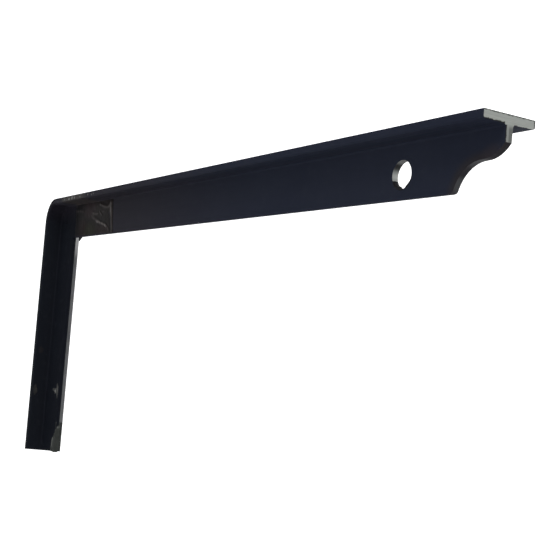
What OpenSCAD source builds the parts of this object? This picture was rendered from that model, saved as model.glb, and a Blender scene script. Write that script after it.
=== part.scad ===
// Shelf bracket: one length of rolled steel T section turned through a right angle.
// The flange runs on round the outer corner, the web is notched and mitred inside it,
// and the web stops short of the tip in an ogee. A single hole goes through the web.
// Millimetres. X out from the wall, Y across the bracket, Z up.
// Origin on the wall face, at mid width.

/* [Arms] */
// Reach of the shelf arm, from the wall to the tip
arm_reach = 500; // [300:10:700]
// Height of the wall leg below the shelf plane, at the middle of its flange
leg_height = 201; // [140:1:300]
// Distance of the origin below the shelf plane, on the wall face
origin_drop = 100; // [40:5:120]

/* [T section] */
// Width of the flange that lies on the wall and under the shelf
flange_width = 28.5; // [24:0.5:40]
// Thickness of the flange, half way out to its toe
flange_thickness = 4; // [3:0.25:5]
// Depth of the section, from the flange's outer face to the web's toe
section_depth = 30; // [27:1:36]
// Thickness of the web at half the section's depth
web_thickness = 3.5; // [3:0.25:5]
// Slope of the rolled inner faces, as a fraction of their length
rolling_taper = 0.02; // [0.005:0.005:0.02]
// Radius of the root fillets between web and flange
root_radius = 1.25; // [1:0.25:3.5]
// Radius of the inner corners of the flange's toes
flange_toe_radius = 1; // [0.5:0.25:2.5]
// Radius of the corners of the web's toe
web_toe_radius = 0.8; // [0.2:0.1:0.9]

/* [Corner] */
// Outer radius of the flange round the corner
bend_radius = 18; // [12:1:22]

/* [Web end at the tip] */
// Depth of the square end left at the tip
tip_end_depth = 11.4; // [10:0.1:13]
// Radius of the ogee's round
ogee_round_radius = 15.5; // [12:0.5:18]
// Radius of the ogee's cove
ogee_cove_radius = 17.25; // [15:0.25:18.5]
// Distance of the cove's centre back from the tip
cove_centre_back = 12.85; // [11:0.05:15]
// Distance of the cove's centre below the web's toe
cove_centre_drop = 4.35; // [3:0.05:6]
// Radius that eases the cusp where the cove meets the web's toe
cusp_radius = 2.6; // [0.5:0.1:3]

/* [Web hole] */
// Diameter of the hole through the web
hole_diameter = 13.5; // [6:0.5:14]
// Distance of the hole's centre back from the tip
hole_from_tip = 63.9; // [50:0.1:120]
// Distance of the hole's centre below the shelf plane
hole_depth = 18.6; // [17:0.1:19]

/* [Sawn lower end] */
// Lean of the saw cut across the flange's width, degrees
cut_lean_across = 4; // [0:0.5:6]
// Lean of the saw cut through the section's depth, degrees
cut_lean_through = 6; // [0:0.5:8]

/* [Hidden] */
paint_colour = [0.13, 0.135, 0.17];
round_segments = 128;
fillet_segments = 48;
cut_margin = 20;

// How far each easing circle passes the face it runs into, so that the two outlines cross
touch = 0.002;

// Slopes of the rolled faces. In the section's own plane X runs across the width and
// Y is minus the depth, so the flange's inner face is y = taper * x - flange_line
// and the web's face is x = taper * y + web_line.
slant = sqrt(1 + pow(rolling_taper, 2));
flange_line = flange_thickness + rolling_taper * flange_width / 4;
web_line = web_thickness / 2 + rolling_taper * section_depth / 2;

// Where the two rolled faces would meet, and the centre of the root fillet
root_corner_x = (web_line - rolling_taper * flange_line) / (1 - pow(rolling_taper, 2));
root_corner_y = rolling_taper * root_corner_x - flange_line;
root_x = (web_line + root_radius * slant - rolling_taper * (flange_line + root_radius * slant))
    / (1 - pow(rolling_taper, 2));
root_y = rolling_taper * root_x - flange_line - root_radius * slant;

// Centre of the rounding of a flange toe's inner corner
toe_x = flange_width / 2 - flange_toe_radius;
toe_y = rolling_taper * toe_x - flange_line + flange_toe_radius * slant;

// Centre of the rounding of a corner of the web's toe
web_toe_y = web_toe_radius - section_depth;
web_toe_x = rolling_taper * web_toe_y + web_line - web_toe_radius * slant;

// Outline points of the section before its corners are rounded
flange_edge_y = rolling_taper * flange_width / 2 - flange_line;
web_edge_x = web_line - rolling_taper * section_depth;

// The ogee, measured from the tip: X is minus the distance back, Y is minus the depth
cove_x = -cove_centre_back;
cove_y = -section_depth - cove_centre_drop;
ogee_reach = ogee_cove_radius + ogee_round_radius - touch;
ogee_span = norm([cove_x, cove_y + tip_end_depth]);
ogee_along = (pow(ogee_span, 2) + pow(ogee_reach, 2) - pow(ogee_round_radius, 2)) / (2 * ogee_span);
ogee_aside = sqrt(pow(ogee_reach, 2) - pow(ogee_along, 2));
span_x = -cove_x / ogee_span;
span_y = (-tip_end_depth - cove_y) / ogee_span;
ogee_round_x = cove_x + ogee_along * span_x - ogee_aside * span_y;
ogee_round_y = cove_y + ogee_along * span_y + ogee_aside * span_x;
turn_x = cove_x + (ogee_round_x - cove_x) * (ogee_cove_radius + 1) / ogee_reach;
turn_y = cove_y + (ogee_round_y - cove_y) * (ogee_cove_radius + 1) / ogee_reach;

// The eased cusp: its circle touches the web's toe line and the cove
cusp_reach = ogee_cove_radius + cusp_radius - touch;
cusp_y = cusp_radius - section_depth - touch;
cusp_x = cove_x - sqrt(pow(cusp_reach, 2) - pow(cusp_y - cove_y, 2));
cusp_end_x = cusp_x + (cove_x - cusp_x) * (cusp_radius + 1) / cusp_reach;
cusp_end_y = cusp_y + (cove_y - cusp_y) * (cusp_radius + 1) / cusp_reach;

// The T's outline, with sharp corners
module section_blank() {
    polygon([
        [-flange_width / 2, 0],
        [flange_width / 2, 0],
        [flange_width / 2, flange_edge_y],
        [root_corner_x, root_corner_y],
        [web_edge_x, -section_depth],
        [-web_edge_x, -section_depth],
        [-root_corner_x, root_corner_y],
        [-flange_width / 2, flange_edge_y],
    ]);
}

// The metal of one root fillet, between the web, the flange and the fillet's circle
module root_fillet() {
    difference() {
        polygon([
            [root_corner_x - 1, root_corner_y + 1],
            [root_x - rolling_taper * (root_radius + 1), root_y + root_radius + 1],
            [root_x, root_y],
            [root_x - root_radius - 1, root_y + rolling_taper * (root_radius + 1)],
        ]);
        translate([root_x, root_y])
            circle(r = root_radius + touch, $fn = fillet_segments);
    }
}

// What the rounding takes off the inner corner of one flange toe
module flange_toe_waste() {
    difference() {
        polygon([
            [toe_x, toe_y],
            [flange_width / 2 + 1, toe_y],
            [flange_width / 2 + 1, toe_y - flange_toe_radius - 1],
            [toe_x + rolling_taper * (flange_toe_radius + 1), toe_y - flange_toe_radius - 1],
        ]);
        translate([toe_x, toe_y])
            circle(r = flange_toe_radius + touch, $fn = fillet_segments);
    }
}

// What the rounding takes off one corner of the web's toe
module web_toe_waste() {
    difference() {
        polygon([
            [web_toe_x, web_toe_y],
            [web_toe_x + web_toe_radius + 1, web_toe_y - rolling_taper * (web_toe_radius + 1)],
            [web_toe_x + web_toe_radius + 1, -section_depth - 1],
            [web_toe_x, -section_depth - 1],
        ]);
        translate([web_toe_x, web_toe_y])
            circle(r = web_toe_radius + touch, $fn = fillet_segments);
    }
}

// The rolled T section: flange on top, web hanging from it
module t_section() {
    difference() {
        union() {
            section_blank();
            root_fillet();
            mirror([1, 0])
                root_fillet();
        }
        flange_toe_waste();
        mirror([1, 0])
            flange_toe_waste();
        web_toe_waste();
        mirror([1, 0])
            web_toe_waste();
    }
}

// The straight arm under the shelf, from the bend to the tip
module shelf_arm() {
    translate([bend_radius, 0, 0])
        rotate([90, 0, 90])
            linear_extrude(height = arm_reach - bend_radius)
                t_section();
}

// The straight leg on the wall, from below its saw cut up to the bend
module wall_leg() {
    translate([0, 0, -leg_height - cut_margin])
        rotate([0, 0, 90])
            linear_extrude(height = leg_height + cut_margin - bend_radius)
                t_section();
}

// The corner: the same section carried round a quarter turn about the bend's centre
module corner_bend() {
    translate([bend_radius, 0, -bend_radius])
        rotate([90, 0, 0])
            rotate_extrude(angle = 90, start = 90, $fn = round_segments)
                intersection() {
                    translate([bend_radius, 0])
                        rotate(-90)
                            t_section();
                    translate([0, -flange_width])
                        square([bend_radius + 1, 2 * flange_width]);
                }
}

// Everything the ogee removes from the end of the web, seen from the side
module ogee_profile() {
    difference() {
        polygon([
            [cove_x, cove_y],
            [turn_x, turn_y],
            [-1, 1 - tip_end_depth],
            [cut_margin, 1 - tip_end_depth],
            [cut_margin, -section_depth - cut_margin],
            [cove_x, -section_depth - cut_margin],
        ]);
        translate([ogee_round_x, ogee_round_y])
            circle(r = ogee_round_radius, $fn = round_segments);
    }
    translate([cove_x, cove_y])
        circle(r = ogee_cove_radius, $fn = round_segments);
    difference() {
        polygon([
            [cusp_x, cusp_y],
            [cusp_x, -section_depth - 1],
            [cusp_end_x, -section_depth - 1],
            [cusp_end_x, cusp_end_y],
        ]);
        translate([cusp_x, cusp_y])
            circle(r = cusp_radius, $fn = fillet_segments);
    }
}

module ogee_cut() {
    translate([arm_reach, flange_width, 0])
        rotate([90, 0, 0])
            linear_extrude(height = 2 * flange_width)
                ogee_profile();
}

// The round hole through the web
module web_hole() {
    translate([arm_reach - hole_from_tip, flange_width, -hole_depth])
        rotate([90, 0, 0])
            cylinder(h = 2 * flange_width, r = hole_diameter / 2, $fn = round_segments);
}

// The waste below the leg's saw cut, which is a little out of square both ways
module leg_end_waste() {
    translate([0, 0, -leg_height])
        rotate([-cut_lean_across, -cut_lean_through, 0])
            translate([-2 * section_depth, -2 * flange_width, -3 * cut_margin])
                cube([4 * section_depth, 4 * flange_width, 3 * cut_margin]);
}

module bracket() {
    color(paint_colour)
        translate([0, 0, origin_drop])
            difference() {
                union() {
                    shelf_arm();
                    wall_leg();
                    corner_bend();
                }
                ogee_cut();
                web_hole();
                leg_end_waste();
            }
}

bracket();
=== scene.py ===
# Looks of a T-section steel shelf bracket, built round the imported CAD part. Metres, in the CAD's frame.
import math

import bpy
from mathutils import Matrix, Vector, noise


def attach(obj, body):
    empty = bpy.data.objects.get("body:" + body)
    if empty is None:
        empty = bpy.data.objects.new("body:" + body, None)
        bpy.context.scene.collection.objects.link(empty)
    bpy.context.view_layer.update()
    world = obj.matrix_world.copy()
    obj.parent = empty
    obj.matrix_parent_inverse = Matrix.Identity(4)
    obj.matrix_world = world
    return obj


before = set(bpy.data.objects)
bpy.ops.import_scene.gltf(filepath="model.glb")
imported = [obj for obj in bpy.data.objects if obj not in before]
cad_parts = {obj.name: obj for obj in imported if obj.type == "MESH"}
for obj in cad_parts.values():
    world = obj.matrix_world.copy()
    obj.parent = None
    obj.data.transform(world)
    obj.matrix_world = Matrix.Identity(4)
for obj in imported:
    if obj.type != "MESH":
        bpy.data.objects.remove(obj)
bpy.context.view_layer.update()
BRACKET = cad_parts["bracket"]
MM = 0.001

# The sizes of part.scad, in millimetres, measured from the shelf plane and the wall
SHELF_Z = 100.0
WEB_LINE, TAPER = 2.05, 0.02
ARM_REACH, DEPTH, FLANGE, FLANGE_HALF = 500.0, 30.0, 4.0, 14.25
HOLE_X, HOLE_Z, HOLE_R = 436.1, -18.6, 6.75

# The photograph's viewpoint: degrees of yaw, pitch and roll, the camera's place in millimetres as
# at() takes it, and the focal length in pixels. They are the rounded result of a fit to the
# bracket's outlines, made once by a program outside this script.
CAMERA_TURN = (32.31, 3.30, 4.50)
CAMERA_PLACE = (791.1, -286.6, -96.4)
FOCAL_PIXELS = 1010.5
PICTURE_PIXELS = 560.0
SENSOR_WIDTH = 36.0


def at(x, y, z):
    """A point in metres, from millimetres out from the wall, across, and up from the shelf plane."""
    return Vector((x * MM, y * MM, (SHELF_Z + z) * MM))


def view_axes():
    """The camera's right, up and ahead directions."""
    yaw, pitch, roll = (math.radians(angle) for angle in CAMERA_TURN)
    ahead = Vector((-math.cos(yaw) * math.cos(pitch), math.sin(yaw) * math.cos(pitch), math.sin(pitch)))
    level = ahead.cross(Vector((0, 0, 1))).normalized()
    upright = level.cross(ahead)
    right = math.cos(roll) * level + math.sin(roll) * upright
    up = -math.sin(roll) * level + math.cos(roll) * upright
    return right, up, ahead


def read_off(pixel, side):
    """Where a pixel of the photograph lies on the plane Y = side: millimetres out, and up."""
    right, up, ahead = view_axes()
    across, down = (place - PICTURE_PIXELS / 2 for place in pixel)
    ray = ahead * FOCAL_PIXELS + right * across - up * down
    reach = (side - CAMERA_PLACE[1]) / ray.y
    return CAMERA_PLACE[0] + ray.x * reach, CAMERA_PLACE[2] + ray.z * reach


def web_half(depth):
    """Half the web's thickness at a depth below the section's outer face."""
    return WEB_LINE - TAPER * depth


def smooth(value, low, high):
    """0 below low, 1 above high, and an even ease between; low may be the larger."""
    t = max(0.0, min(1.0, (value - low) / (high - low)))
    return t * t * (3.0 - 2.0 * t)


def rough(x, y, scale, seed=0.0):
    """Seeded noise from -1 to 1, with features about 1/scale millimetres wide."""
    return noise.noise(Vector((x * scale + seed, y * scale - seed, seed)))


# ---------------------------------------------------------------- shader nodes
class Shader:
    """A material's node tree with short calls for the nodes this script needs."""

    def __init__(self, name):
        self.material = bpy.data.materials.new(name)
        self.material.use_nodes = True
        self.tree = self.material.node_tree
        self.tree.nodes.clear()
        self.output = self.add("ShaderNodeOutputMaterial")
        self.place = self.add("ShaderNodeTexCoord").outputs["Object"]

    def add(self, kind, **settings):
        node = self.tree.nodes.new(kind)
        for key, value in settings.items():
            setattr(node, key, value)
        return node

    def put(self, socket, value):
        if isinstance(value, bpy.types.NodeSocket):
            self.tree.links.new(value, socket)
        elif value is not None:
            socket.default_value = value

    def math(self, op, a, b=None, clamp=False):
        node = self.add("ShaderNodeMath", operation=op, use_clamp=clamp)
        for i, v in enumerate((a, b)):
            if v is not None:
                self.put(node.inputs[i], v)
        return node.outputs[0]

    def all_of(self, first, *rest):
        """Product of masks."""
        for other in rest:
            first = self.math("MULTIPLY", first, other)
        return first

    def above(self, value, limit):
        """1 where the value is over the limit, and 0 elsewhere."""
        return self.math("GREATER_THAN", value, limit)

    def below(self, value, limit):
        """1 where the value is under the limit, and 0 elsewhere."""
        return self.math("LESS_THAN", value, limit)

    def scaled(self, factors):
        """The place on the object, stretched by a factor along each axis."""
        node = self.add("ShaderNodeVectorMath", operation="MULTIPLY")
        self.put(node.inputs[0], self.place)
        node.inputs[1].default_value = factors
        return node.outputs[0]

    def noise(self, scale, detail=3.0, rough=0.5, vector=None, distort=0.0):
        node = self.add("ShaderNodeTexNoise")
        self.put(node.inputs["Vector"], vector or self.place)
        node.inputs["Scale"].default_value = scale
        node.inputs["Detail"].default_value = detail
        node.inputs["Roughness"].default_value = rough
        node.inputs["Distortion"].default_value = distort
        return node.outputs["Fac"]

    def ramp(self, value, low, high, out_low=0.0, out_high=1.0):
        """Eases from out_low, where the value is low, to out_high, where it is high."""
        node = self.add("ShaderNodeMapRange", clamp=True)
        node.interpolation_type = "SMOOTHSTEP"
        self.put(node.inputs["Value"], value)
        for key, v in (("From Min", low), ("From Max", high), ("To Min", out_low), ("To Max", out_high)):
            self.put(node.inputs[key], v)
        return node.outputs["Result"]

    def spot(self, a, b, centre, size):
        """Soft ellipse over two coordinates, from 1 at its centre. Centre and half size in metres."""
        da = self.math("DIVIDE", self.math("SUBTRACT", a, centre[0]), size[0])
        db = self.math("DIVIDE", self.math("SUBTRACT", b, centre[1]), size[1])
        far = self.math("ADD", self.math("MULTIPLY", da, da), self.math("MULTIPLY", db, db))
        return self.ramp(far, 2.0, 0.0)

    def mix(self, factor, a, b):
        node = self.add("ShaderNodeMix", data_type="RGBA")
        self.put(node.inputs["Factor"], factor)
        self.put(node.inputs[6], a)
        self.put(node.inputs[7], b)
        return node.outputs[2]

    def blend(self, factor, a, b):
        node = self.add("ShaderNodeMix", data_type="FLOAT")
        self.put(node.inputs["Factor"], factor)
        self.put(node.inputs[2], a)
        self.put(node.inputs[3], b)
        return node.outputs[0]

    def bump(self, height, distance, strength=1.0):
        node = self.add("ShaderNodeBump")
        self.put(node.inputs["Height"], height)
        node.inputs["Distance"].default_value = distance
        node.inputs["Strength"].default_value = strength
        return node.outputs["Normal"]

    def split(self, vector=None):
        node = self.add("ShaderNodeSeparateXYZ")
        self.put(node.inputs[0], vector or self.place)
        return node.outputs

    def tone(self):
        """The piece's tone, from -1 to 1, as shell() stored it: mostly painted light, high for painted
        highlights and low for painted shade.
        """
        return self.add("ShaderNodeAttribute", attribute_name="tone").outputs["Fac"]

    def finish(self, **inputs):
        shader = self.add("ShaderNodeBsdfPrincipled")
        for key, value in inputs.items():
            self.put(shader.inputs[key.replace("_", " ")], value)
        self.tree.links.new(shader.outputs[0], self.output.inputs["Surface"])
        return self.material


def rgb(r, g, b):
    return (r, g, b, 1.0)


PAINT_IOR = 1.04
# The arm's colours hold painted bluish light and the leg's are painted shade, darker only because less
# light reached the leg
PAINT_ARM = (rgb(0.0118, 0.0140, 0.0226), rgb(0.0134, 0.0156, 0.0244))
PAINT_ARM_ROOT = rgb(0.0168, 0.0162, 0.0207)
PAINT_LEG_SHADED = (rgb(0.0049, 0.0057, 0.0082), rgb(0.0055, 0.0063, 0.0088))
PAINT_LEG_FLANGE = rgb(0.0069, 0.0079, 0.0108)
PAINT_BEND = rgb(0.0100, 0.0094, 0.0130)
PAINT_FLECK = rgb(0.030, 0.032, 0.037)

# Where the colour and its painted shade change, in metres out from the wall (x), across (y) or down from
# the shelf plane (depth). A pair is where the change begins and where it is complete.
LEG_TO_ARM_NEAR, LEG_TO_ARM_FAR = (0.0362, 0.0340), (0.090, 0.020)
BELOW_FLANGE, ROUND_THE_BEND = (0.0036, 0.0060), (0.022, 0.010)
ARM_ROOT, LEG_FLANGE_FACE, BEND_DEPTH = (0.34, 0.10), (0.0046, 0.0040), (0.020, 0.006)
FLANGE_EDGE_LOW, FLANGE_UNDERSIDE = 0.0036, 0.0037


def coat_and_painted_light(s, x, depth, clouds, mottle, on_leg):
    """Blue-black paint with painted light in it: lighter and bluer on the arm, where bluish light is
    painted in; darker on the leg, which is painted shade; a little lighter on the leg's flange face and
    round the bend; warm near the corner.
    """
    arm = s.mix(s.ramp(clouds, 0.35, 0.65), *PAINT_ARM)
    arm = s.mix(s.ramp(x, *ARM_ROOT), arm, PAINT_ARM_ROOT)
    leg = s.mix(s.ramp(clouds, 0.35, 0.65), *PAINT_LEG_SHADED)
    leg = s.mix(s.ramp(x, *LEG_FLANGE_FACE), leg, PAINT_LEG_FLANGE)
    leg = s.mix(s.ramp(depth, *BEND_DEPTH), leg, PAINT_BEND)
    paint = s.mix(on_leg, arm, leg)
    return s.mix(s.ramp(mottle, 0.5, 0.8, 0.0, 0.10), paint, PAINT_FLECK)


def dusty_corner_and_gap_shade(s, paint, x, y, depth, mottle):
    """Dusty brown paint on the flange's near edge and underside by the corner, and two dark spots of
    painted shade in the gap under that edge.
    """
    start, end = (0.030, 0.038), (0.088, 0.070)
    near_edge, near_web = -0.0139, -0.0018
    underside_low, gap_shade_low = 0.0068, 0.0050
    on_edge_colour, under_colour = rgb(0.0400, 0.0380, 0.0370), rgb(0.0250, 0.0220, 0.0220)
    gap_shade_colour = rgb(0.0050, 0.0045, 0.0048)
    beside = s.all_of(s.ramp(x, *start), s.ramp(x, *end), s.ramp(mottle, 0.25, 0.60, 0.45, 1.0))
    on_edge = s.all_of(beside, s.below(depth, FLANGE_EDGE_LOW), s.below(y, near_edge))
    under = s.all_of(
        beside, s.above(depth, FLANGE_UNDERSIDE), s.below(depth, underside_low), s.below(y, near_web)
    )
    paint = s.mix(on_edge, paint, on_edge_colour)
    paint = s.mix(under, paint, under_colour)
    # Painted shade: two dark spots in the gap under the flange's near edge
    gap_shade = s.math(
        "MAXIMUM",
        s.spot(x, y, (0.0735, -0.0125), (0.0030, 0.0012)),
        s.spot(x, y, (0.0792, -0.0096), (0.0028, 0.0010)),
    )
    gap_shade = s.all_of(gap_shade, s.above(depth, FLANGE_EDGE_LOW), s.below(depth, gap_shade_low))
    return s.mix(gap_shade, paint, gap_shade_colour)


def toe_highlight(s, paint, x, y, depth, mottle):
    """A painted highlight: a pale strip along the far toe of the leg's flange, brightest high up and
    dimmer past its lower end.
    """
    inside, face, past_face = (0.0104, 0.0116), (0.0020, 0.0030), 0.0062
    top, end, fade, brightest = 0.0255, 0.1780, 0.001, (0.046, 0.033)
    toe_light_colour, bright_colour = rgb(0.150, 0.151, 0.155), rgb(0.42, 0.42, 0.42)
    dull_colour = rgb(0.040, 0.042, 0.040)
    # Painted highlight along the far toe's edge
    toe_lit = s.all_of(
        s.ramp(y, *inside), s.ramp(x, *face), s.below(x, past_face), s.above(depth, top)
    )
    toe_lit = s.all_of(toe_lit, s.ramp(mottle, 0.25, 0.55, 0.75, 1.0))
    toe_light = s.mix(s.ramp(depth, *brightest), toe_light_colour, bright_colour)
    toe_light = s.mix(s.ramp(depth, end - fade, end + fade), toe_light, dull_colour)
    return s.mix(toe_lit, paint, toe_light)


def cut_tints(s, paint, x, depth):
    """Warm tint where the web was cut, and a rubbed fringe beside that edge."""
    cove_x, cove_depth = 0.48715, 0.03435
    tint_start, tint_top, cove_fringe = 0.452, 0.0114, (0.0225, 0.0172)
    round_centre, round_size, below_flange = (0.4935, 0.0165), (0.0060, 0.0046), 0.0068
    to_cove = s.math(
        "SQRT",
        s.math(
            "ADD",
            s.math("POWER", s.math("SUBTRACT", x, cove_x), 2.0),
            s.math("POWER", s.math("SUBTRACT", depth, cove_depth), 2.0),
        ),
    )
    near_cut = s.all_of(s.above(x, tint_start), s.above(depth, tint_top))
    tint = s.all_of(near_cut, s.ramp(to_cove, *cove_fringe), 0.75)
    paint = s.mix(tint, paint, rgb(0.0200, 0.0174, 0.0180))
    round_tint = s.all_of(s.spot(x, depth, round_centre, round_size), s.above(depth, below_flange), 0.5)
    return s.mix(round_tint, paint, rgb(0.0250, 0.0212, 0.0240))


def ogee_colour(s, x, depth, mottle):
    """The ogee's cut: dark and a little brown, lighter in two painted highlights, on the cove's top and on
    the lower cusp.
    """
    cut = s.mix(s.ramp(mottle, 0.35, 0.7), rgb(0.0185, 0.0172, 0.0200), rgb(0.0232, 0.0218, 0.0243))
    # Painted highlights on the cut
    light = s.math(
        "MAXIMUM",
        s.spot(x, depth, (0.4845, 0.0175), (0.0050, 0.0040)),
        s.spot(x, depth, (0.4715, 0.0255), (0.0028, 0.0042)),
    )
    return s.mix(light, cut, rgb(0.051, 0.051, 0.054))


def sawn_steel(s, y, depth, saw):
    """The sawn tip's bare steel with a ragged dark line of paint round it, and that line's mask."""
    web_side = s.math("ABSOLUTE", y)
    web_from, web_half_at_tip = (0.0038, 0.0062), (0.0026, 0.0020)
    steel = s.mix(s.ramp(saw, 0.3, 0.7), rgb(0.237, 0.248, 0.233), rgb(0.279, 0.290, 0.271))
    web_tone = s.mix(s.ramp(y, -0.0004, 0.0002), rgb(0.188, 0.196, 0.188), rgb(0.110, 0.115, 0.108))
    on_web = s.all_of(s.ramp(depth, *web_from), s.ramp(web_side, *web_half_at_tip))
    steel = s.mix(on_web, steel, web_tone)

    rag = 0.0016
    ragged = s.noise(620.0, 3.0, 0.6)
    lip = s.math("MULTIPLY", s.math("SUBTRACT", ragged, 0.5), rag)
    top_rim = s.ramp(s.math("ADD", depth, lip), 0.00055, 0.00020)
    low = s.math("ADD", s.math("SUBTRACT", depth, s.blend(s.above(y, 0.0), 0.00345, 0.00395)), lip)
    low_rim = s.all_of(s.ramp(low, -0.0001, 0.0003), s.above(web_side, web_half_at_tip[0]))
    far_end = s.ramp(s.math("ADD", y, lip), 0.01365, 0.0140)
    near_web = s.all_of(
        s.ramp(s.math("ADD", y, s.math("MULTIPLY", lip, 0.6)), -0.00120, -0.00160),
        s.above(depth, 0.0045),
        s.above(y, -0.004),
    )
    rim = s.math("MAXIMUM", s.math("MAXIMUM", top_rim, low_rim), s.math("MAXIMUM", far_end, near_web))
    return s.mix(rim, steel, rgb(0.020, 0.021, 0.020)), rim


def hole_wall(s, x, z, side_on):
    """The drilled hole's mask, the bare band in the middle of its height, and the wall's colour."""
    hx = s.math("SUBTRACT", x, HOLE_X * MM)
    hz = s.math("SUBTRACT", z, (SHELF_Z + HOLE_Z) * MM)
    radius = s.math("SQRT", s.math("ADD", s.math("MULTIPLY", hx, hx), s.math("MULTIPLY", hz, hz)))
    hole = s.all_of(s.below(radius, (HOLE_R + 0.06) * MM), side_on)
    band = s.all_of(s.ramp(hz, -0.0050, 0.0002), s.ramp(hz, 0.0042, -0.0002))
    top_arc = s.math("MULTIPLY", s.ramp(hz, 0.0048, 0.0062), 0.26)
    wall = s.mix(s.math("MAXIMUM", band, top_arc), rgb(0.024, 0.024, 0.025), rgb(0.385, 0.395, 0.382))
    return hole, band, wall


def paint_material():
    """Satin blue-black paint on rolled steel, bare where the bar is sawn or drilled."""
    s = Shader("satin_blue_black_paint")
    x, y, z = s.split()
    nx, ny, nz = s.split(s.add("ShaderNodeNewGeometry").outputs["True Normal"])
    depth = s.math("SUBTRACT", SHELF_Z * MM, z)
    side_on = s.below(s.math("ABSOLUTE", ny), 0.5)

    # Slow clouds, fine mottling, rolling lines along each arm, orange peel and saw lines
    clouds = s.noise(11.0, 4.0, 0.55)
    mottle = s.noise(140.0, 4.0, 0.6)
    arm_lines = s.noise(1.0, 3.0, 0.6, s.scaled((18.0, 700.0, 700.0)))
    leg_lines = s.noise(1.0, 3.0, 0.6, s.scaled((700.0, 700.0, 18.0)))
    peel = s.noise(900.0, 2.0, 0.5)
    saw = s.noise(1.0, 2.0, 0.6, s.scaled((60.0, 90.0, 1900.0)))

    # Where the leg's painted shade takes over from the arm's colour
    along_web = s.blend(s.above(y, 0.0), s.ramp(x, *LEG_TO_ARM_NEAR), s.ramp(x, *LEG_TO_ARM_FAR))
    on_leg = s.all_of(along_web, s.ramp(depth, *BELOW_FLANGE))
    on_leg = s.math("MAXIMUM", on_leg, s.ramp(x, *ROUND_THE_BEND))
    lines = s.blend(on_leg, arm_lines, leg_lines)

    paint = coat_and_painted_light(s, x, depth, clouds, mottle, on_leg)
    paint = dusty_corner_and_gap_shade(s, paint, x, y, depth, mottle)
    paint = toe_highlight(s, paint, x, y, depth, mottle)
    paint = cut_tints(s, paint, x, depth)

    ogee_start, ogee_top = (ARM_REACH - 32.5) * MM, 0.0113
    tip_start = (ARM_REACH - 0.05) * MM
    tip = s.all_of(s.above(x, tip_start), s.above(nx, 0.9))
    ogee = s.all_of(
        s.above(x, ogee_start),
        s.above(depth, ogee_top),
        side_on,
        s.below(nz, -0.02),
        s.math("SUBTRACT", 1.0, tip),
    )
    steel, rim = sawn_steel(s, y, depth, saw)
    hole, band, wall = hole_wall(s, x, z, side_on)
    colour = s.mix(ogee, paint, ogee_colour(s, x, depth, mottle))
    colour = s.mix(hole, colour, wall)
    colour = s.mix(tip, colour, steel)
    bare = s.math("MAXIMUM", s.all_of(tip, s.math("SUBTRACT", 1.0, rim)), s.all_of(hole, band))

    gloss = s.ramp(lines, 0.3, 0.7, 0.46, 0.54)
    gloss = s.blend(bare, gloss, s.ramp(saw, 0.3, 0.7, 0.50, 0.62))
    height = s.math("ADD", s.math("MULTIPLY", peel, 0.4), s.math("MULTIPLY", lines, 0.5))
    height = s.math("ADD", height, s.math("MULTIPLY", mottle, 0.6))
    height = s.blend(bare, height, saw)
    return s.finish(
        Base_Color=colour,
        Metallic=s.math("MULTIPLY", bare, 0.35),
        Roughness=gloss,
        IOR=PAINT_IOR,
        Normal=s.bump(height, 0.00005, 0.6),
    )


def film_material():
    """Brownish, creased skin of filler and paint over the ground corner joint, with painted highlights on
    its crests and painted shade in its grooves.

    A spot is its place (x, depth) and half size in metres, how strong it is, and its colour.
    """
    s = Shader("creased_brown_skin")
    x, _, z = s.split()
    depth = s.math("SUBTRACT", SHELF_Z * MM, z)
    blotch = s.noise(75.0, 3.0, 0.55, distort=0.3)
    grain = s.noise(600.0, 3.0, 0.6)
    base = s.mix(s.ramp(blotch, 0.35, 0.65), rgb(0.0066, 0.0055, 0.0058), rgb(0.0088, 0.0076, 0.0076))
    spots = (
        ((0.078, 0.0100), (0.018, 0.0060), 0.6, rgb(0.0165, 0.0145, 0.0140)),
        ((0.062, 0.0100), (0.012, 0.0060), 0.8, rgb(0.0150, 0.0098, 0.0115)),
        ((0.047, 0.0235), (0.009, 0.0070), 0.9, rgb(0.0105, 0.0040, 0.0042)),
        ((0.064, 0.0265), (0.011, 0.0060), 0.7, rgb(0.0096, 0.0100, 0.0058)),
        ((0.088, 0.0265), (0.012, 0.0040), 0.6, rgb(0.0100, 0.0058, 0.0062)),
    )
    for place, size, share, colour in spots:
        base = s.mix(s.math("MULTIPLY", s.spot(x, depth, place, size), share), base, colour)
    base = s.mix(s.ramp(x, 0.066, 0.031), base, rgb(0.0044, 0.0044, 0.0052))
    base = s.mix(s.ramp(grain, 0.45, 0.8, 0.0, 0.25), base, rgb(0.0190, 0.0170, 0.0165))
    tone = s.tone()
    # Painted highlights where the tone is high, on the crests; painted shade where it is low, in the
    # grooves
    base = s.mix(s.ramp(tone, 0.05, 0.95), base, rgb(0.0700, 0.0640, 0.0620))
    base = s.mix(s.ramp(tone, -0.05, -0.95), base, rgb(0.0035, 0.0033, 0.0038))
    return s.finish(
        Base_Color=base,
        Roughness=s.ramp(blotch, 0.3, 0.7, 0.30, 0.42),
        IOR=1.06,
        Normal=s.bump(s.math("ADD", blotch, s.math("MULTIPLY", grain, 0.5)), 0.00008, 0.7),
    )


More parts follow.
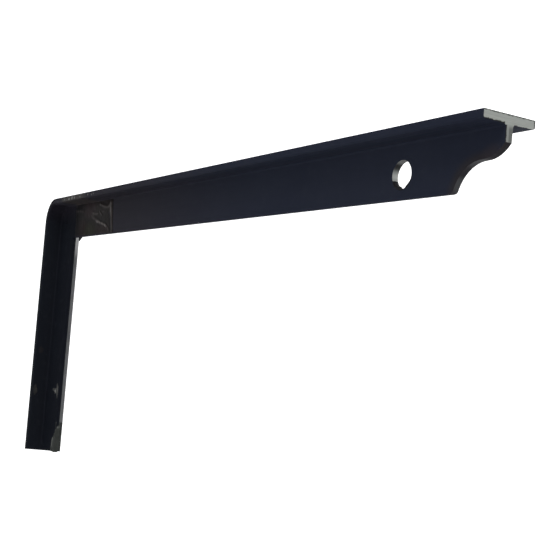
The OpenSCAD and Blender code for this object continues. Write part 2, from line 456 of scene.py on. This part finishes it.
def filler_material(name, dark, light, pale, deep=None, ior=1.08, gloss=0.38):
    """Mottled filler or paint; pale where the piece's tone is high, and deep where it is low: painted
    highlights and painted shade on the lumps, creases and drop, the chips' own colours on the chips.
    """
    s = Shader(name)
    lumps = s.noise(260.0, 3.0, 0.6, distort=0.4)
    grain = s.noise(1200.0, 2.0, 0.5)
    tone = s.tone()
    base = s.mix(s.ramp(lumps, 0.35, 0.68), dark, light)
    base = s.mix(s.ramp(tone, 0.05, 0.95), base, pale)
    base = s.mix(s.ramp(tone, -0.05, -0.95), base, deep or dark)
    return s.finish(
        Base_Color=base,
        Roughness=s.ramp(grain, 0.3, 0.7, gloss - 0.06, gloss + 0.08),
        IOR=ior,
        Normal=s.bump(s.math("ADD", lumps, s.math("MULTIPLY", grain, 0.3)), 0.00012, 0.8),
    )


# ---------------------------------------------------------------- raised marks on the surface
def shell(name, columns, rows, point, material, sink=0.25):
    """A closed skin over part of the bracket, riding with it.

    point(u, v), each from 0 to 1, gives a place on the surface in millimetres, the way out of it,
    the skin's height there and its tone, which on most pieces is painted light: high for a painted
    highlight, low for painted shade. Where the height is below zero the skin lies inside the
    metal, hidden.
    """
    top, under, tones_and_painted_light = [], [], []
    for j in range(rows):
        for i in range(columns):
            (x, y, z), out, height, tone = point(i / (columns - 1), j / (rows - 1))
            base, out = at(x, y, z), Vector(out).normalized()
            tones_and_painted_light.append(tone)
            top.append(base + out * height * MM)
            under.append(base - out * sink * MM)
    faces = []
    shift = len(top)
    for j in range(rows - 1):
        for i in range(columns - 1):
            a, b = j * columns + i, j * columns + i + 1
            c, d = b + columns, a + columns
            faces.append((a, b, c, d))
            faces.append((a + shift, d + shift, c + shift, b + shift))
    rim = [i for i in range(columns)]
    rim += [j * columns + columns - 1 for j in range(1, rows)]
    rim += [(rows - 1) * columns + i for i in range(columns - 2, -1, -1)]
    rim += [j * columns for j in range(rows - 2, 0, -1)]
    for k, a in enumerate(rim):
        b = rim[(k + 1) % len(rim)]
        faces.append((a, a + shift, b + shift, b))
    mesh = bpy.data.meshes.new(name)
    mesh.from_pydata(top + under, [], faces)
    mesh.attributes.new("tone", "FLOAT", "POINT").data.foreach_set("value", tones_and_painted_light + tones_and_painted_light)
    for p in mesh.polygons:
        p.use_smooth = True
    mesh.materials.append(material)
    piece = bpy.data.objects.new(name, mesh)
    bpy.context.scene.collection.objects.link(piece)
    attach(piece, "root")


def to_line(x, z, line):
    """Distance from a point to a broken line, and how far along it the nearest place is, 0 to 1."""
    best, where = 1e9, 0.0
    for k in range(len(line) - 1):
        (ax, az), (bx, bz) = line[k], line[k + 1]
        ux, uz = bx - ax, bz - az
        t = max(0.0, min(1.0, ((x - ax) * ux + (z - az) * uz) / (ux * ux + uz * uz)))
        far = math.hypot(x - ax - t * ux, z - az - t * uz)
        if far < best:
            best, where = far, (k + t) / (len(line) - 1)
    return best, where


# Creases of the skin over the corner joint, in the photograph's pixels: points read off, some of
# them then moved to bring the render's creases nearer the photograph's
UPRIGHT_CREASE = ((111.5, 200.8), (112.1, 205.0), (111.8, 210.0), (111.7, 222.0), (111.5, 231.5))
CREASE_HOOK = ((108.8, 206.5), (110.7, 205.7), (111.2, 209.0), (111.3, 212.0))
UPPER_CREASE = ((100.4, 203.8), (102.5, 205.0), (104.5, 206.2), (107.0, 206.9), (109.0, 206.5))
SHADE_OVER_UPPER = ((99.8, 200.8), (102.0, 201.8), (104.5, 202.8), (107.5, 203.4))
SHADE_UNDER_UPPER = ((101.0, 206.8), (102.5, 207.7), (104.5, 208.3))
LONG_CREASE_TOP = ((92.4, 215.0), (94.0, 217.6), (96.0, 220.0), (98.2, 221.6))
LONG_CREASE_MIDDLE = ((97.1, 220.9), (100.0, 222.3), (102.0, 223.2), (104.5, 224.4), (106.5, 226.3))
LONG_CREASE_END = ((106.2, 226.1), (108.0, 229.0), (108.8, 231.2))
LONG_CREASE_BRANCH = ((92.3, 212.3), (94.5, 213.6), (96.8, 213.9), (99.0, 213.6))
SHORT_FOLD = ((99.8, 210.6), (101.0, 213.2), (102.6, 215.2))
SHORT_FOLD_TIP = ((103.0, 211.6), (105.2, 210.6))
SHADE_OVER_LONG = ((100.0, 220.1), (102.5, 221.1), (105.0, 222.2), (107.5, 224.6))
SHADE_UNDER_LONG = ((96.8, 223.6), (99.0, 225.2), (101.4, 226.4))
SHADE_BY_UPRIGHT = ((108.2, 211.0), (109.2, 215.0), (109.6, 220.0), (109.6, 226.0), (109.8, 231.5))
WEDGE_BY_LEG = ((76.5, 211.6), (80.0, 211.2), (84.0, 212.0))
CREASE_SIDE = -1.8

# Each crease's line, half width, height and tone; the tone is painted light, a painted highlight on
# a crest and painted shade in a groove. A shade is a groove, so it goes down
CREASES = (
    (UPRIGHT_CREASE, 1.55, 0.75, 0.68),
    (CREASE_HOOK, 2.20, 0.45, 0.55),
    (UPPER_CREASE, 0.95, 0.55, 0.62),
    (SHADE_OVER_UPPER, 0.80, -0.05, -0.55),
    (SHADE_UNDER_UPPER, 0.60, -0.05, -0.60),
    (LONG_CREASE_TOP, 1.60, 0.55, 0.50),
    (LONG_CREASE_MIDDLE, 1.05, 0.75, 0.98),
    (LONG_CREASE_END, 1.00, 0.45, 0.45),
    (LONG_CREASE_BRANCH, 1.25, 0.35, 0.50),
    (SHORT_FOLD, 0.60, 0.35, 0.42),
    (SHORT_FOLD_TIP, 0.60, 0.25, 0.30),
    (SHADE_OVER_LONG, 0.70, -0.10, -0.85),
    (SHADE_UNDER_LONG, 0.70, -0.05, -0.45),
    (SHADE_BY_UPRIGHT, 0.75, -0.15, -0.55),
    (WEDGE_BY_LEG, 1.30, 0.20, 0.36),
)


def corner_skin():
    """The creased skin on the near side of the web, from beside the leg to the upright crease."""
    x0, x1, z0, z1 = 30.0, 111.5, -4.5, -29.9
    film, reach = 0.10, 3.5
    edge_x, edge_lean, edge_z = 107.9, 0.085, -17.0
    creases = [
        ([read_off(pixel, CREASE_SIDE) for pixel in line], wide, tall, shade)
        for line, wide, tall, shade in CREASES
    ]

    def point(u, v):
        x, z = x0 + u * (x1 - x0), z0 + v * (z1 - z0)
        height = film + 0.06 * rough(x, z, 0.16, 3.0) + 0.04 * rough(x, z, 0.45, 7.0)
        tone = 0.12 * rough(x, z, 0.3, 13.0)
        for line, wide, tall, shade in creases:
            far, along = to_line(x, z, line)
            if far < reach * wide:
                crest = (0.80 + 0.35 * rough(x, z, 0.35, 11.0)) * math.exp(-(far / wide) ** 2)
                crest *= smooth(along, -0.05, 0.10) * smooth(along, 1.10, 0.90)
                height += tall * crest
                # Painted light: a crest's tone lifts it, a groove's lowers it
                tone += shade * crest
        edge = edge_x - edge_lean * (z - edge_z) + 0.5 * rough(z, 2.0, 0.4, 5.0)
        height -= 0.9 * smooth(x, edge - 0.3, edge + 0.9)
        height -= 0.4 * smooth(x, 36.0 + 2.0 * rough(z, 1.0, 0.3, 9.0), 31.0)
        height -= 0.5 * smooth(z, -28.9, -29.8) * (1.0 if x < 98.0 else 0.3)
        return (x, -web_half(-z), z), (0, -1, 0), height, tone

    shell("corner_skin", 190, 62, point, film_material())


def dressed_joint():
    """The mitre on the far side of the web: a low weld bead, dressed flat and painted over."""
    start, length = 5.0, 24.6
    widest, half_bead, bead = 9.0, 3.6, 0.42

    def point(u, v):
        depth = start + v * length
        side = (2.0 * u - 1.0) * min(widest, depth - 4.5)
        x = depth + side
        across = abs(side) / half_bead
        ripple = 0.06 * math.sin(depth * 3.1 + 0.9 * math.sin(side)) + 0.08 * rough(x, depth, 0.5, 2.0)
        height = (bead + ripple) * math.exp(-across ** 2) - 0.10 + 0.05 * rough(x, depth, 0.9, 4.0)
        height -= 0.5 * smooth(depth, 28.6, 29.6) + 0.5 * smooth(depth, 6.0, 5.0)
        return (x, web_half(min(depth, x)), -depth), (0, 1, 0), height, 0.0

    low, high = rgb(0.0100, 0.0115, 0.0165), rgb(0.0140, 0.0155, 0.0210)
    dark = filler_material("painted_weld", low, high, high, ior=PAINT_IOR, gloss=0.46)
    shell("dressed_joint", 46, 90, point, dark)


# Lumps on the flange's near edge: the middle of each pale spot, read off the photograph in
# its pixels, then the lump's half width and height in millimetres
EDGE_LUMPS = (
    ((64.8, 199.5), 1.8, 0.30),
    ((69.2, 199.3), 1.8, 0.50),
    ((72.0, 198.4), 1.3, 0.46),
    ((72.5, 197.4), 1.2, 0.42),
    ((74.5, 197.8), 1.3, 0.50),
    ((80.0, 196.5), 2.4, 0.26),
    ((87.8, 194.5), 1.6, 0.26),
    ((91.4, 194.4), 1.2, 0.26),
    ((93.6, 193.5), 2.0, 0.22),
)


def edge_lumps(material):
    """Runs of paint along the near edge of the flange beside the corner, with a painted glint on each
    lump's crest.
    """
    start, length = 28.0, 80.0
    top, width = -0.25, 3.1
    half_depth, hidden = 1.1, -0.2
    lumps = [(*read_off(pixel, -FLANGE_HALF), wide, tall) for pixel, wide, tall in EDGE_LUMPS]

    def point(u, v):
        x, z = start + u * length, top - v * width
        height, tone = -0.16 + 0.06 * rough(x, z, 0.5, 21.0), 0.0
        for cx, cz, wide, tall in lumps:
            crest = math.exp(-((x - cx) / wide) ** 2 - ((z - cz) / half_depth) ** 2)
            height += tall * crest
            # Painted glint: the lump's crest is paler
            tone += 1.9 * tall * crest
        ends = smooth(u, 0.0, 0.02) * smooth(u, 1.0, 0.98) * smooth(v, 0.0, 0.12) * smooth(v, 1.0, 0.88)
        return (x, -FLANGE_HALF, z), (0, -1, 0), hidden + (height - hidden) * ends, tone

    shell("edge_lumps", 230, 14, point, material)


def corner_shade_drop(material):
    """A dark drop hanging under the web in the inner corner: painted shade, standing for the shadow there.
    """
    toe = 0.8
    start, length = 38.5, 6.2

    def point(u, v):
        x, y = start + u * length, 0.1 + v * 1.2
        round_off = max(0.0, y - (web_half(DEPTH) - toe))
        base = -DEPTH + toe - math.sqrt(toe * toe - round_off * round_off)
        drop = 3.5 * smooth(u, -0.02, 0.14) * max(0.0, 1.0 - u) ** 0.9
        drop *= smooth(v, -0.1, 0.3) * smooth(v, 1.1, 0.7)
        # Tone -1 gives the drop the deep colour: painted shade
        return (x, y, base), (0, 0, -1), drop - 0.12 + 0.12 * rough(x, y, 0.9, 6.0), -1.0

    shell("corner_shade_drop", 34, 14, point, material)


def leg_marks(material, bright):
    """Chips and smears of old paint on the leg."""
    def on_flange(cy, cz, half_y, half_z, tall, lean, seed):
        def point(u, v):
            a, b = 2 * u - 1, 2 * v - 1
            y, z = cy + a * half_y, cz + b * half_z
            far = math.hypot(a * (1.15 + lean * b), b) + 0.35 * rough(y, z, 0.55, seed)
            height = tall * smooth(far, 0.95, 0.35) * (0.8 + 0.5 * rough(y, z, 1.1, seed + 3)) - 0.05
            shade = -1.0 if tall < 0.2 else -0.6 * smooth(far, 0.45, 0.85)
            return (FLANGE + TAPER * (7.1 - abs(y)), y, z), (1, 0, 0), height, shade
        return point

    def on_web(u, v):
        x, z = 15.5 + u * 14.0, -144.0 - v * 13.5
        bar = math.hypot((x - 26.6 + 0.08 * (z + 150.0)) / 2.3, (z + 150.6) / 5.9)
        bar += 0.40 * rough(x, z, 0.5, 31.0)
        core = math.hypot((x - 23.4) / 3.0, (z + 151.4) / 2.4) + 0.30 * rough(x, z, 0.6, 17.0)
        arm = math.hypot((x - 19.4) / 3.2, (z + 150.6) / 1.5) + 0.30 * rough(x, z, 0.6, 12.0)
        height = 0.26 * smooth(bar, 1.0, 0.5) + 0.26 * smooth(core, 1.0, 0.45)
        height += 0.14 * smooth(arm, 1.0, 0.5)
        tone = 1.1 * math.exp(-((x - 22.8) / 1.6) ** 2 - ((z + 151.6) / 1.3) ** 2)
        tone -= 0.4 * smooth(arm, 1.3, 0.4)
        return (x, -web_half(x), z), (0, -1, 0), height - 0.05 + 0.05 * rough(x, z, 1.2, 8.0), tone

    shell("flange_chip", 30, 34, on_flange(-11.4, -152.0, 2.5, 5.6, 0.30, 0.35, 14.0), material)
    shell("flange_smear", 26, 26, on_flange(-9.4, -120.6, 3.4, 4.2, 0.12, 0.0, 24.0), material)
    shell("web_chip", 46, 44, on_web, bright)


# The smear's edge on the web, from its top to the leg's end, in the photograph's pixels: read
# off, and some points then moved
SMEAR_EDGE = (
    (56.5, 424.8), (55.5, 427.0), (54.6, 431.0), (53.2, 436.5), (51.6, 438.5), (50.7, 444.0), (50.3, 449.5)
)
SMEAR_SIDE = -1.6
SMEAR_START = 20.0


def web_end_smear(material):
    """Filler wrapped round the web's toe at the leg's lower end, with painted glints on its lumps."""
    seam = [read_off(pixel, SMEAR_SIDE) for pixel in SMEAR_EDGE]
    lead = [(z, x - SMEAR_START) for x, z in seam]
    front, corner = 29.6, 9.6
    round_length, top, drop = 17.0, -175.0, 23.6
    turn_out = 0.96

    def left(z):
        for (za, sa), (zb, sb) in zip(lead, lead[1:]):
            if z >= zb:
                return sa + (sb - sa) * max(0.0, min(1.0, (z - za) / (zb - za)))
        return lead[-1][1]

    def point(u, v):
        s, z = u * round_length, top - v * drop
        half = web_half(DEPTH - 0.5)
        if s < corner:
            base = (SMEAR_START + s, -web_half(SMEAR_START + s), z)
            out = (turn_out * smooth(s, 8.6, 9.6), -1, 0)
        elif s < corner + 2 * half:
            y = -half + (s - corner)
            base = (DEPTH - 0.05, y, z)
            out = (1, 0.9 * (y / half) ** 3, 0)
        else:
            back = s - corner - 2 * half
            base = (front - back, half, z)
            out = (turn_out * smooth(back, 1.0, 0.0), 1, 0)
        inside = s - left(z) + 0.8 * rough(z, s, 0.45, 41.0)
        lump = 0.30 + 0.42 * math.exp(-((s - 7.2) / 1.9) ** 2) * smooth(z, -181.5, -186.0)
        lump += 0.22 * rough(s, z, 0.55, 43.0) * (1.0 if s < corner else 0.35)
        lump += 0.85 * smooth(s, corner + 1.2, corner + 2.9)
        height = -0.12 + (lump + 0.12) * smooth(inside, 0.0, 0.9)
        height *= 1.0 if z < -177.5 else smooth(z, -175.2, -177.5)
        height -= 0.7 * smooth(s, 14.2, 16.6) * (1.0 + 0.3 * rough(z, 1.0, 0.5, 44.0))
        height -= 1.2 * smooth(z, -197.6, -198.5)
        # Painted glints: paler on the lump by the seam and along the top; darker at the bottom by the
        # corner and round the front edge
        tone = 0.75 * math.exp(-((s - 6.6) / 1.7) ** 2) * smooth(z, -181.5, -185.0)
        tone *= smooth(z, -196.0, -193.0)
        pale_top = 0.75 * smooth(z, -182.0, -179.0) * math.exp(-((inside - 1.6) / 1.5) ** 2)
        tone += pale_top + 0.30 * rough(s, z, 0.5, 47.0)
        tone -= 0.80 * smooth(z, -194.5, -196.5) * smooth(s, corner, corner - 2.0)
        tone -= 0.30 * smooth(s, corner, corner + 2.0)
        return base, out, height, tone

    shell("web_end_smear", 76, 96, point, material, sink=0.2)


def hole_burr(material):
    """Paint run that sits in the lower half of the drilled hole."""
    start, sweep, wall_half = -168.0, 160.0, 1.66

    def point(u, v):
        turn = math.radians(start + u * sweep)
        y = -wall_half + 2.0 * wall_half * v
        deg = math.degrees(turn)
        height = 0.80 * math.exp(-((deg + 48.0) / 17.0) ** 2)
        height += 0.95 * math.exp(-((deg + 122.0) / 16.0) ** 2)
        height += 0.15 + 0.10 * rough(deg * 0.1, y, 0.9, 51.0)
        height *= smooth(u, 0.0, 0.14) * smooth(u, 1.0, 0.82)
        height *= 0.55 + 0.45 * math.sin(math.pi * min(1.0, max(0.0, v))) ** 0.5
        cx, cz = math.cos(turn), math.sin(turn)
        return (HOLE_X + HOLE_R * cx, y, HOLE_Z + HOLE_R * cz), (-cx, 0, -cz), height - 0.03, 0.0

    shell("hole_burr", 84, 12, point, material, sink=0.3)


# ---------------------------------------------------------------- floor, backdrop and light
def stage_material():
    """White card: its own white where the camera or a reflection sees it, and a plain card for light."""
    s = Shader("white_card")
    rays = s.add("ShaderNodeLightPath")
    seen = s.math("MAXIMUM", rays.outputs["Is Camera Ray"], rays.outputs["Is Glossy Ray"])
    seen = s.math("MAXIMUM", seen, rays.outputs["Is Transmission Ray"], clamp=True)
    fibres = s.noise(60.0, 3.0, 0.6)
    card = s.add("ShaderNodeBsdfPrincipled")
    s.put(card.inputs["Base Color"], s.mix(fibres, rgb(0.80, 0.80, 0.80), rgb(0.84, 0.84, 0.84)))
    card.inputs["Roughness"].default_value = 0.9
    s.put(card.inputs["Emission Color"], rgb(1.0, 1.0, 1.0))
    s.put(card.inputs["Emission Strength"], s.math("MULTIPLY", seen, 0.6))
    s.tree.links.new(card.outputs[0], s.output.inputs["Surface"])
    return s.material


def make_stage():
    """A floor that sweeps up into a wall behind the bracket, well clear of it."""
    floor_z, back, reach, radius = -0.36, 1.9, 6.0, 0.9
    wall_top, steps, turn = 5.0, 24, 58
    run = [(-reach, floor_z), (back - radius, floor_z)]
    for i in range(1, steps + 1):
        a = math.radians(90.0 * i / steps)
        run.append((back - radius + radius * math.sin(a), floor_z + radius * (1 - math.cos(a))))
    run.append((back, wall_top))
    verts, faces = [], []
    for d, h in run:
        verts += [(-reach, d, h), (reach, d, h)]
    for i in range(len(run) - 1):
        faces.append((2 * i, 2 * i + 1, 2 * i + 3, 2 * i + 2))
    mesh = bpy.data.meshes.new("studio_sweep")
    mesh.from_pydata(verts, [], faces)
    for p in mesh.polygons:
        p.use_smooth = True
    mesh.materials.append(stage_material())
    sweep = bpy.data.objects.new("studio_sweep", mesh)
    bpy.context.scene.collection.objects.link(sweep)
    sweep.rotation_euler = (0, 0, math.radians(turn))


def area_lamp(name, place, aim, size, watts):
    data = bpy.data.lights.new(name, "AREA")
    data.shape = "RECTANGLE"
    data.size, data.size_y = size
    data.energy = watts
    lamp = bpy.data.objects.new(name, data)
    bpy.context.scene.collection.objects.link(lamp)
    lamp.location = place
    lamp.rotation_euler = (Vector(aim) - Vector(place)).to_track_quat("-Z", "Y").to_euler()


# The world as it lights the bracket, and as the camera and reflections see it: colour, strength
SKY_LIGHT = (rgb(0.95, 0.98, 1.0), 0.42)
SKY_SEEN = (rgb(1.0, 1.0, 1.0), 1.0)

# Each lamp's name, its place, aim and size in metres, and its watts
LAMPS = (
    ("key", (0.9, -0.7, 1.5), (0.25, 0, 0), (1.2, 1.2), 26),
    ("front", (0.9, -1.5, 0.0), (0.25, 0, 0.02), (1.6, 0.8), 11),
    ("back", (0.6, 1.4, 1.1), (0.25, 0, 0), (1.6, 1.0), 24),
)


def make_light():
    """A pale soft world that shows white, and three wide lamps."""
    world = bpy.data.worlds.new("studio")
    bpy.context.scene.world = world
    world.use_nodes = True
    tree = world.node_tree
    tree.nodes.clear()
    out = tree.nodes.new("ShaderNodeOutputWorld")
    shades = []
    for colour, strength in (SKY_LIGHT, SKY_SEEN):
        shade = tree.nodes.new("ShaderNodeBackground")
        shade.inputs[0].default_value = colour
        shade.inputs[1].default_value = strength
        shades.append(shade)
    rays = tree.nodes.new("ShaderNodeLightPath")
    seen = rays.outputs["Is Camera Ray"]
    for other in ("Is Glossy Ray", "Is Transmission Ray"):
        most = tree.nodes.new("ShaderNodeMath")
        most.operation = "MAXIMUM"
        tree.links.new(seen, most.inputs[0])
        tree.links.new(rays.outputs[other], most.inputs[1])
        seen = most.outputs[0]
    mix = tree.nodes.new("ShaderNodeMixShader")
    tree.links.new(seen, mix.inputs[0])
    tree.links.new(shades[0].outputs[0], mix.inputs[1])
    tree.links.new(shades[1].outputs[0], mix.inputs[2])
    tree.links.new(mix.outputs[0], out.inputs["Surface"])
    for name, place, aim, size, watts in LAMPS:
        area_lamp(name, place, aim, size, watts)


def make_camera():
    """The photograph's viewpoint, solved from the bracket's own edges."""
    right, up, ahead = view_axes()
    data = bpy.data.cameras.new("camera")
    data.sensor_fit = "HORIZONTAL"
    data.sensor_width = SENSOR_WIDTH
    data.lens = FOCAL_PIXELS / PICTURE_PIXELS * SENSOR_WIDTH
    data.clip_start, data.clip_end = 0.02, 50.0
    camera = bpy.data.objects.new("camera", data)
    bpy.context.scene.collection.objects.link(camera)
    spin = Matrix((right, up, -ahead)).transposed()
    camera.matrix_world = Matrix.Translation(at(*CAMERA_PLACE)) @ spin.to_4x4()
    bpy.context.scene.camera = camera


make_camera()
make_stage()
make_light()

slot = BRACKET.material_slots[0]
slot.link = "OBJECT"
slot.material = paint_material()
# Pale is the painted glints on the edge lumps, deep the painted shade of the corner drop
dark_paint_and_painted_light = filler_material(
    "paint_runs_and_painted_light",
    dark=rgb(0.0170, 0.0170, 0.0200),
    light=rgb(0.0250, 0.0250, 0.0270),
    pale=rgb(0.105, 0.103, 0.100),
    deep=rgb(0.0110, 0.0115, 0.0130),
)
# Pale is the painted glints on the smear's lumps
grey_smear = filler_material(
    "grey_green_smear",
    dark=rgb(0.0230, 0.0250, 0.0235),
    light=rgb(0.0300, 0.0320, 0.0300),
    pale=rgb(0.080, 0.083, 0.078),
    deep=rgb(0.0160, 0.0170, 0.0160),
)
pale_chip = filler_material(
    "pale_chip",
    dark=rgb(0.0330, 0.0340, 0.0340),
    light=rgb(0.0500, 0.0500, 0.0480),
    pale=rgb(0.135, 0.135, 0.130),
    deep=rgb(0.0190, 0.0200, 0.0210),
)
brown_chip = filler_material(
    "brown_chip",
    dark=rgb(0.0150, 0.0150, 0.0155),
    light=rgb(0.0215, 0.0212, 0.0210),
    pale=rgb(0.040, 0.038, 0.036),
    deep=rgb(0.0098, 0.0096, 0.0112),
)
hole_paint = filler_material(
    "hole_paint",
    dark=rgb(0.012, 0.012, 0.014),
    light=rgb(0.020, 0.020, 0.022),
    pale=rgb(0.030, 0.030, 0.032),
    ior=PAINT_IOR,
    gloss=0.5,
)
corner_skin()
dressed_joint()
edge_lumps(dark_paint_and_painted_light)
corner_shade_drop(dark_paint_and_painted_light)
leg_marks(brown_chip, pale_chip)
web_end_smear(grey_smear)
hole_burr(hole_paint)

bpy.context.scene.view_settings.view_transform = "Standard"
